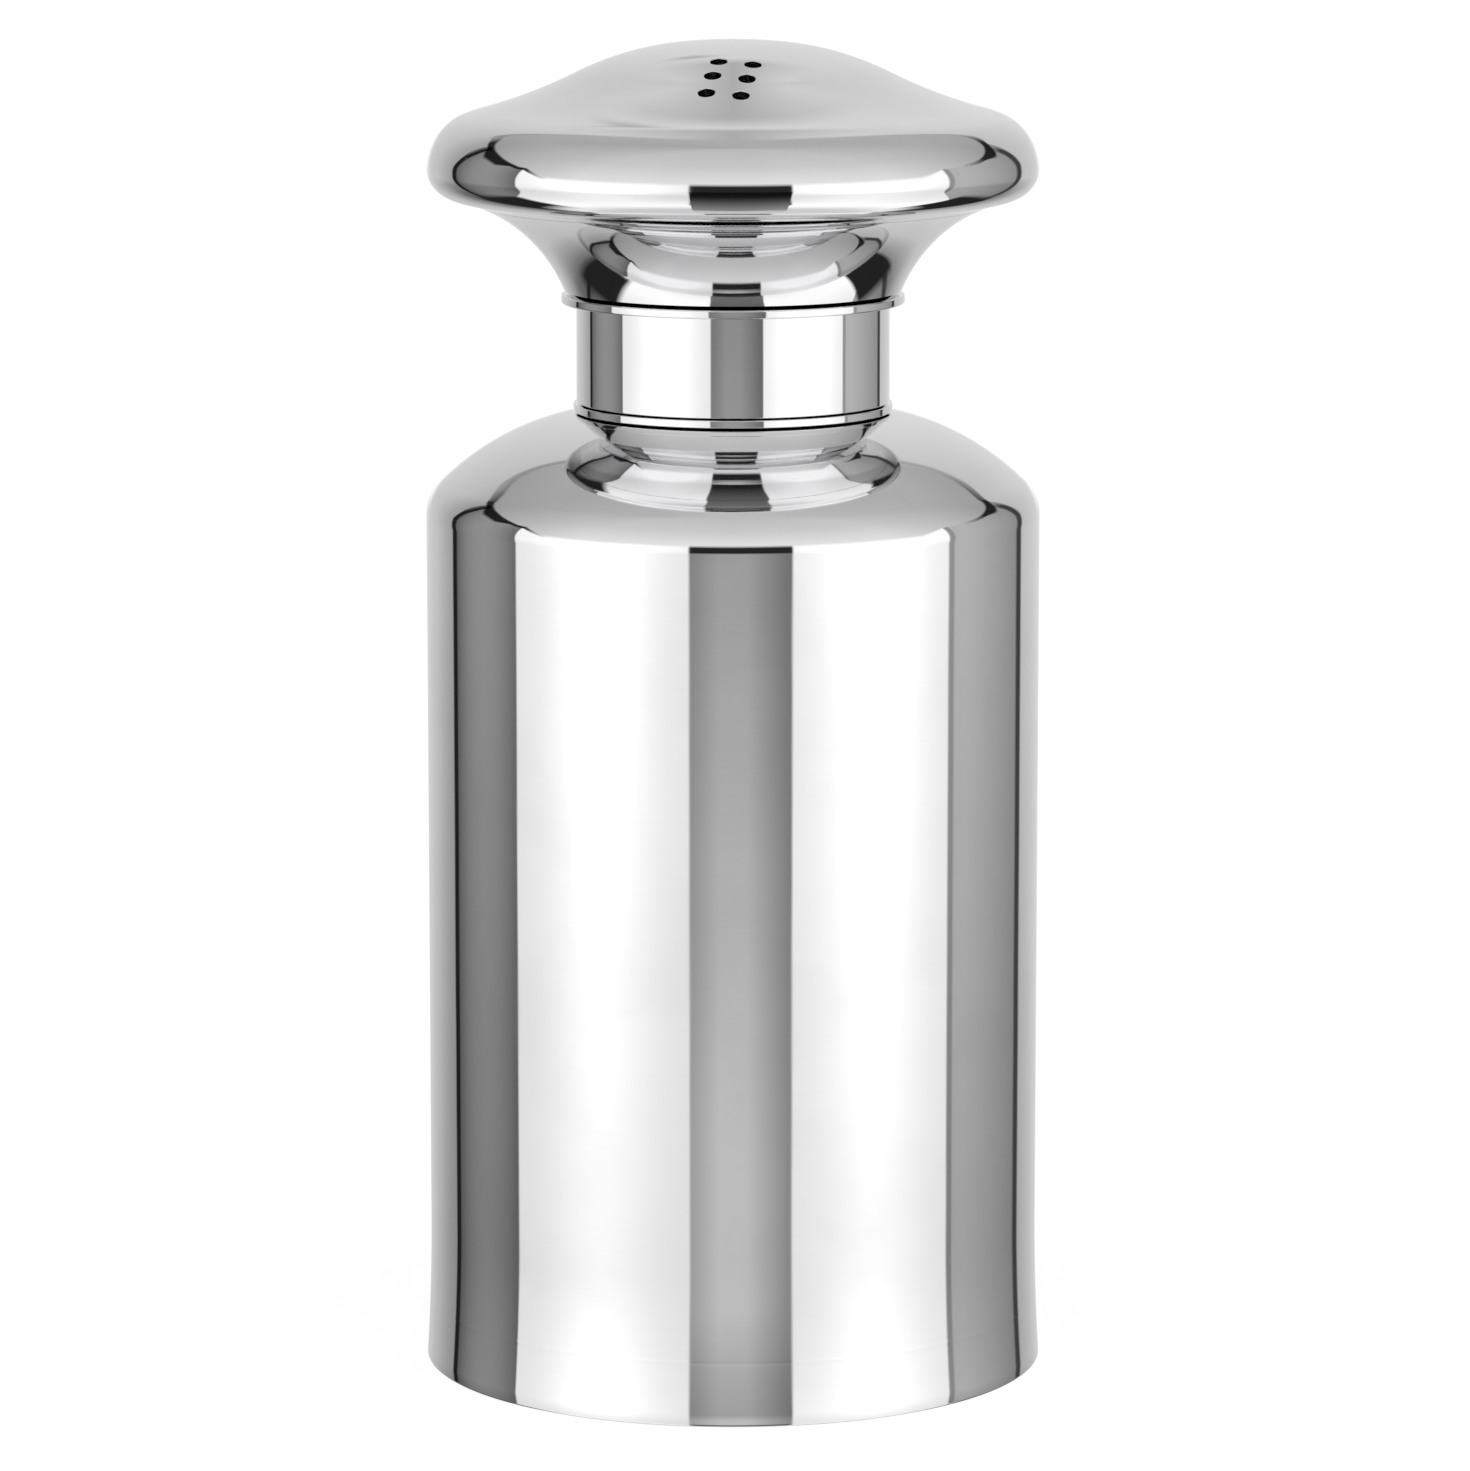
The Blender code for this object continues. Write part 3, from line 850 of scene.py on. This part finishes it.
def insert_nylon():
    """Moulded nylon: milky, slightly mottled, with fine moulding grain."""
    material, tree, shader = new_material("insert_nylon")
    place = axes(tree, "Object")
    cloud = noise(tree, place, CLOUD_FINENESS, 3.0)
    grain = noise(tree, place, GRAIN_FINENESS, 2.0)
    set_bump(tree, shader, grain * GRAIN_HEIGHT + cloud * CLOUD_HEIGHT)
    set_colour(tree, shader, cloud.between(0.3, 0.7), NYLON_CREAM, NYLON_MILK)
    (NYLON_ROUGHNESS + grain * 0.14).put(shader.inputs["Roughness"])
    shader.inputs["Specular IOR Level"].default_value = NYLON_SHINE
    return material


def seal_rubber():
    """Pale silicone rubber: matt, with a dusty bloom and fine pores."""
    material, tree, shader = new_material("seal_rubber")
    place = axes(tree, "Object")
    bloom = noise(tree, place, BLOOM_FINENESS, 4.0)
    pores = noise(tree, place, PORE_FINENESS, 2.0)
    set_bump(tree, shader, pores * PORE_HEIGHT)
    set_colour(tree, shader, bloom.between(0.3, 0.7), RUBBER_BARE, RUBBER_DUSTY)
    (RUBBER_ROUGHNESS + bloom * 0.16).put(shader.inputs["Roughness"])
    shader.inputs["Specular IOR Level"].default_value = RUBBER_SHINE
    return material


# The studio that the steel mirrors. Directions are degrees: azimuth 0 is the camera's side and grows towards
# +X, elevation is above the horizon. Levels are the light that shows in the steel.
STEEL_REFLECTANCE = 0.82
BLACK = 0.015
STEEP_FLOOR_LEVEL = 0.60
STEEP_GAP_LEVEL = 0.54
FOLD_SHADE = 0.36
GAP_LEFT, GAP_RIGHT = -16.2, 22.0
LEFT_BOX_END, RIGHT_BOX_END = -88.6, 87.9
LEFT_POST, RIGHT_POST = -128.3, 135.6
BOX_TOP = 10.5

View = namedtuple("View", "azimuth elevation turn on_left")


def studio_view(tree):
    """Direction that is looked in: azimuth, elevation, how far it turns from the camera, and its side."""
    x, y, z = axes(tree, "Generated")
    azimuth = x.reckon("ARCTAN2", 0.0 - y) * (180.0 / math.pi)
    elevation = z.reckon("ARCSINE") * (180.0 / math.pi)
    on_left = azimuth.between(-0.1, 0.1, 1.0, 0.0)
    return View(azimuth, elevation, azimuth.reckon("ABSOLUTE"), on_left)


def wall_level(view):
    """Wall behind the shaker, brightest in the middle: dull high up, and white paper at its foot."""
    azimuth, elevation, turn, on_left = view
    left = turn.between(131.0, 147.0, 0.34, 0.50) + turn.between(147.0, 178.0, 0.0, 0.13)
    right = turn.between(138.0, 172.0, 0.50, 0.63)
    sink = elevation.between(-8.0, -26.0) * turn.between(138.0, 160.0, 0.62, 0.0)
    dull = turn.between(167.0, 180.0) * elevation.between(34.0, 40.0, 0.0, 0.36)
    low = elevation.between(-8.0, -15.0, 0.0, 0.14)
    level = right.towards(left, on_left) * (1.0 - low) * (1.0 - sink) * (1.0 - dull)
    return level.towards(0.95, turn.between(160.0, 172.0) * elevation.band(-5.0, 2.5, 2.5))


def add_cards(level, view):
    """Grey cards beside the soft boxes, each with a black post at its far end that leans in higher up."""
    azimuth, elevation = view.azimuth, view.elevation
    low = elevation.between(-8.0, -14.0)
    lean = elevation.between(4.0, 22.0, 0.0, 4.0)
    offset = (azimuth + 107.0) / 19.0
    left = (0.265 - offset * offset * 0.15) * (1.0 - low * 0.28)
    right = azimuth.between(98.0, 132.0, 0.44, 0.26) * (1.0 - low * 0.22)
    level = level.towards(left, azimuth.band(LEFT_POST, LEFT_BOX_END, 0.4))
    level = level.towards(right, azimuth.band(RIGHT_BOX_END, RIGHT_POST, 0.4))
    level = level.towards(0.27 - low * 0.08, azimuth.band(RIGHT_BOX_END + 0.4, RIGHT_BOX_END + 3.0, 0.5))
    level = level.towards(0.012, (azimuth - lean).band(LEFT_POST - 1.8, LEFT_POST + 1.8, 0.5))
    right_post = (azimuth + lean).band(RIGHT_POST - 2.4, RIGHT_POST + 2.4, 0.9)
    return level.towards(0.045, right_post * elevation.between(20.0, 26.0, 1.0, 0.0))


def add_boxes(level, view):
    """Two soft boxes with bright middles. They spread over the floor, with something dark beyond them."""
    azimuth, elevation = view.azimuth, view.elevation
    under = elevation.between(-14.0, -48.0) ** 2.0
    edge = elevation.between(-15.0, 0.0, 0.70, 0.88)
    core = elevation.between(-15.0, -5.0, 0.18, 0.55)
    left = edge + core * azimuth.hump(-51.0, 21.0)
    right = edge + core * azimuth.hump(54.5, 21.5) + 0.03
    boxes = right.towards(left, view.on_left).reckon("MINIMUM", 1.08).towards(1.0, under)
    spread = under * 40.0
    level = level.towards(boxes, azimuth.band(LEFT_BOX_END - spread, spread + RIGHT_BOX_END, 0.4))
    dark_right = azimuth.band(108.0, 142.0, 1.5) * elevation.between(-29.0, -34.0)
    dark_left = azimuth.band(-136.0, -98.0, 3.0) * elevation.between(-28.0, -34.0)
    level = level.towards(BLACK, (dark_right + dark_left) * elevation.between(-60.0, -50.0))
    return level.towards(STEEP_FLOOR_LEVEL, elevation.between(-52.0, -68.0, smooth=True))


def add_gap(level, view):
    """Dark gap between the boxes, where the camera stands, with a strip of lit floor in front of it."""
    azimuth, elevation = view.azimuth, view.elevation
    shade = azimuth.between(5.0, 21.0, 0.0, 0.52) + azimuth.between(-5.0, -15.0, 0.0, 0.32)
    floor = elevation.between(-5.5, -12.6, 0.24, 0.50) * (1.0 - shade)
    near = floor.towards(BLACK, elevation.between(-14.6, -16.0)) + elevation.between(-22.0, -62.0, 0.0, 0.14)
    gap = near.towards(0.018, elevation.between(-5.5, -4.5))
    gap = gap.towards(STEEP_GAP_LEVEL, elevation.between(-62.0, -78.0, smooth=True))
    widen = elevation.between(-14.0, -48.0) ** 2.0 * 0.25 + elevation.between(-52.0, -80.0) ** 2.0 * 1.5 + 1.0
    return level.towards(gap, azimuth.band(widen * GAP_LEFT, widen * GAP_RIGHT, 0.5))


def add_ceiling(level, view):
    """Ceiling, the dark seam where it meets the wall, widest in the room's corners, and a fold behind."""
    azimuth, elevation, turn, on_left = view
    front = elevation.between(14.0, 45.0, 0.745, 0.585) - elevation.between(45.0, 90.0, 0.0, 0.10)
    back = elevation.between(26.0, 50.0, 0.31, 0.41)
    ceiling = front.towards(back, turn.between(60.0, 124.0)) - on_left * turn.band(60.0, 150.0, 20.0) * 0.03
    left_top = turn.between(92.0, 112.0, 20.5, 28.0) + turn.between(112.0, 138.0, 0.0, 7.5)
    right_top = turn.between(106.0, 154.0, 19.0, 36.0, smooth=True)
    back_top = turn.between(144.0, 172.0, 0.0, 24.0, smooth=True)
    over_boxes = turn.between(76.0, 88.0, 1.0, 0.0)
    top = (right_top.towards(left_top, on_left) + back_top).towards(BOX_TOP, over_boxes)
    soft = over_boxes * 2.3 + turn.between(144.0, 164.0, 0.0, 7.0) + 0.7
    drop = top - elevation
    level = level.towards(ceiling, (drop / soft).between(-1.0, 1.0, 1.0, 0.0))
    depth = azimuth.band(-121.0, -101.0, 4.0) * 6.0 + azimuth.hump(125.0, 6.0) * 5.5 + 2.5
    seam = (drop / depth).between(0.7, 1.0, 1.0, 0.0) * drop.between(-1.8, -0.6)
    left_seam = turn.between(74.0, 86.0, 0.0, 0.95) - turn.between(134.0, 142.0, 0.0, 0.6)
    right_seam = turn.between(100.0, 116.0, 0.0, 0.95) - turn.between(137.0, 148.0, 0.0, 0.7)
    seam = seam * right_seam.towards(left_seam, on_left) * turn.between(158.0, 164.0, 1.0, 0.0)
    fold = azimuth.hump(-175.5, 2.6) * elevation.hump(31.4, 1.7) * FOLD_SHADE
    return level * (1.0 - seam) * (1.0 - fold)


def studio_level(tree):
    """Level of the studio's light by direction."""
    view = studio_view(tree)
    level = wall_level(view)
    for add in (add_cards, add_boxes, add_gap, add_ceiling):
        level = add(level, view)
    return level


# The background: the floor glows white in the camera's field, a painted pool of light, and fades to pale grey
# at its sides, in front of it and far behind it, as the world beyond it is
FAR_LEVEL = 0.763
FLOOR_REACH = 3.0
FLOOR_SHADE = 0.30
FLOOR_MOTTLE = 0.02
FLOOR_GLOW = 0.83
FLOOR_FALL = 0.31
WHITE_SIDE, SIDE_FADE = 51.0 * MM, 49.0 * MM
WHITE_FRONT, FRONT_FADE = 34.0 * MM, 51.0 * MM
WHITE_BACK, BACK_FADE = 1.5, 0.7
WHITE_SPREAD = 0.1025


def build_world():
    """Pale grey to the camera, and the studio to everything else."""
    world = bpy.data.worlds.new("studio")
    bpy.context.scene.world = world
    world.use_nodes = True
    tree = world.node_tree
    tree.nodes.clear()
    light = add_node(tree, "ShaderNodeBackground", {"Strength": 1.0 / STEEL_REFLECTANCE})
    studio_level(tree).put(light.inputs["Color"])
    far_colour = (FAR_LEVEL, FAR_LEVEL, FAR_LEVEL, 1.0)
    pale = add_node(tree, "ShaderNodeBackground", {"Color": far_colour, "Strength": 1.0})
    path = tree.nodes.new("ShaderNodeLightPath")
    mix = tree.nodes.new("ShaderNodeMixShader")
    out = tree.nodes.new("ShaderNodeOutputWorld")
    tree.links.new(path.outputs["Is Camera Ray"], mix.inputs[0])
    tree.links.new(light.outputs[0], mix.inputs[1])
    tree.links.new(pale.outputs[0], mix.inputs[2])
    tree.links.new(mix.outputs[0], out.inputs["Surface"])


def build_floor():
    """Floor with a soft shadow and a painted glow, white in the camera's field. Mirrored rays go through it
    to the studio's own floor.
    """
    reach = FLOOR_REACH
    corners = [(-reach, -reach, 0.0), (reach, -reach, 0.0), (reach, reach, 0.0), (-reach, reach, 0.0)]
    mesh = bpy.data.meshes.new("floor")
    mesh.from_pydata(corners, [], [(0, 1, 2, 3)])
    floor = bpy.data.objects.new("floor", mesh)
    bpy.context.scene.collection.objects.link(floor)
    material, tree, shader = new_material("floor_white")
    tree.nodes.remove(shader)
    x, y, z = axes(tree, "Object")
    mottle = noise(tree, (x, y, z), 900.0, 2.0)
    matt = add_node(tree, "ShaderNodeBsdfDiffuse")
    mottled = tint(tree, mottle, (FLOOR_SHADE,) * 3, (FLOOR_SHADE + FLOOR_MOTTLE,) * 3)
    tree.links.new(mottled, matt.inputs["Color"])
    # Painted light: the glow is full in the camera's field and falls off to pale grey beyond it.
    far = 1.0 - FLOOR_FALL
    aside = x.reckon("ABSOLUTE") - y * WHITE_SPREAD
    sides = aside.between(WHITE_SIDE, WHITE_SIDE + SIDE_FADE, 1.0, far, smooth=True)
    front = y.between(-WHITE_FRONT - FRONT_FADE, -WHITE_FRONT, far, 1.0, smooth=True)
    back = y.between(WHITE_BACK, WHITE_BACK + BACK_FADE, 1.0, far, smooth=True)
    white = sides.reckon("MINIMUM", front).reckon("MINIMUM", back)
    shine = {"Color": (1.0, 1.0, 1.0, 1.0), "Strength": white * FLOOR_GLOW}
    glow = add_node(tree, "ShaderNodeEmission", shine)
    pale = add_node(tree, "ShaderNodeBsdfDiffuse", {"Color": (0.8, 0.8, 0.8, 1.0)})
    clear = tree.nodes.new("ShaderNodeBsdfTransparent")
    path = tree.nodes.new("ShaderNodeLightPath")
    geometry = tree.nodes.new("ShaderNodeNewGeometry")
    both = tree.nodes.new("ShaderNodeAddShader")
    tree.links.new(matt.outputs[0], both.inputs[0])
    tree.links.new(glow.outputs[0], both.inputs[1])
    surface = pale.outputs[0]
    choices = [
        (path.outputs["Is Camera Ray"], both.outputs[0]),
        (path.outputs["Is Glossy Ray"], clear.outputs[0]),
        (geometry.outputs["Backfacing"], clear.outputs[0]),
    ]
    for share, shader_output in choices:
        mix = tree.nodes.new("ShaderNodeMixShader")
        tree.links.new(share, mix.inputs[0])
        tree.links.new(surface, mix.inputs[1])
        tree.links.new(shader_output, mix.inputs[2])
        surface = mix.outputs[0]
    tree.links.new(surface, tree.nodes["Material Output"].inputs["Surface"])
    mesh.materials.append(material)


# The flag is a painted dark reflection, with painted light glowing at its near edge.
FLAG_HEIGHT = 75.8 * MM
FLAG_NEAR, FLAG_FAR = 19.7 * MM, 69.7 * MM
FLAG_FADE = 1.7 * MM
FLAG_EDGE_PAINTED_LIGHT = 0.24


def build_flag():
    """Small black flag in front of the brim, which shows only in the steel above it: a painted dark
    reflection.
    """
    corners = []
    for angle in (GAP_LEFT, GAP_RIGHT):
        across = BRIM_RADIUS * math.sin(math.radians(angle / 2))
        splay = (FLAG_FAR - FLAG_NEAR) * math.tan(math.radians(angle))
        corners.append(((across, -FLAG_NEAR, FLAG_HEIGHT), (across + splay, -FLAG_FAR, FLAG_HEIGHT)))
    (near_left, far_left), (near_right, far_right) = corners
    mesh = bpy.data.meshes.new("black_flag")
    mesh.from_pydata([far_left, far_right, near_right, near_left], [], [(0, 1, 2, 3)])
    flag = bpy.data.objects.new("black_flag", mesh)
    bpy.context.scene.collection.objects.link(flag)
    flag.visible_camera = flag.visible_diffuse = flag.visible_shadow = False
    material, tree, shader = new_material("flag_painted_reflection")
    tree.nodes.remove(shader)
    x, y, z = axes(tree, "Object")
    nap = noise(tree, (x, y, z), 2500.0, 2.0)
    # Painted light: the flag's glow rises towards its near edge.
    edge = ((y + FLAG_NEAR) / FLAG_FADE).reckon("EXPONENT")
    painted_flag_glow = add_node(tree, "ShaderNodeEmission", {"Strength": 1.0 / STEEL_REFLECTANCE})
    (edge * FLAG_EDGE_PAINTED_LIGHT + nap * 0.012).put(painted_flag_glow.inputs["Color"])
    clear = tree.nodes.new("ShaderNodeBsdfTransparent")
    geometry = tree.nodes.new("ShaderNodeNewGeometry")
    mix = tree.nodes.new("ShaderNodeMixShader")
    tree.links.new(geometry.outputs["Backfacing"], mix.inputs[0])
    tree.links.new(painted_flag_glow.outputs[0], mix.inputs[1])
    tree.links.new(clear.outputs[0], mix.inputs[2])
    tree.links.new(mix.outputs[0], tree.nodes["Material Output"].inputs["Surface"])
    mesh.materials.append(material)


CAMERA_ASIDE = 0.128 * MM
CAMERA_BACK = 460.0 * MM
CAMERA_HEIGHT = 117.68 * MM
CAMERA_PITCH = math.radians(9.453)
CAMERA_LENS = 175.16


def build_camera():
    data = bpy.data.cameras.new("camera")
    data.lens = CAMERA_LENS
    data.sensor_width = 36.0
    data.clip_start = 10.0 * MM
    camera = bpy.data.objects.new("camera", data)
    camera.location = (CAMERA_ASIDE, -CAMERA_BACK, CAMERA_HEIGHT)
    camera.rotation_euler = (QUARTER - CAMERA_PITCH, 0.0, 0.0)
    bpy.context.scene.collection.objects.link(camera)
    bpy.context.scene.camera = camera


build_camera()
build_world()
build_floor()
build_flag()
bpy.context.scene.view_settings.view_transform = "Standard"

polished = polished_steel()
satin = satin_steel()

bottle_mesh = turned_mesh("bottle", body_runs(), OUTER_STEPS)
add_piece("bottle", bottle_mesh, polished, "shaker_body", "body_shell")
base_mesh = turned_mesh("base_disc", base_runs(), OUTER_STEPS)
add_piece("base_disc", base_mesh, satin, "shaker_body", "base_plate")
neck_thread = thread_height(thread_bottom, thread_turns, 1.0)
neck_mesh = turned_mesh("threaded_neck", neck_runs(), INNER_STEPS, neck_thread, 1)
add_piece("threaded_neck", neck_mesh, satin, "shaker_body", "neck_sleeve")
seal_mesh = turned_mesh("soft_seal", seal_runs(), INNER_STEPS)
add_piece("soft_seal", seal_mesh, seal_rubber(), "seal", "seal_ring")
insert_thread = thread_height(thread_bottom + THREAD_LEAD / 2, thread_turns - 0.5, -1.0)
insert_mesh = turned_mesh("nylon_insert", insert_runs(), INNER_STEPS, insert_thread, 0)
add_piece("nylon_insert", insert_mesh, insert_nylon(), "head", "thread_insert")
collar_mesh = turned_mesh("collar_skirt", collar_runs(), OUTER_STEPS)
add_piece("collar_skirt", collar_mesh, polished, "head", "collar")
flare_mesh = turned_mesh("spun_flare", flare_runs(), OUTER_STEPS)
add_piece("spun_flare", flare_mesh, polished, "head", "cap_flare")
whole_dome_runs = dome_runs()
dome_mesh = pierce(turned_mesh("pierced_dome", whole_dome_runs, OUTER_STEPS), whole_dome_runs)
add_piece("pierced_dome", dome_mesh, polished, "head", "cap_dome")
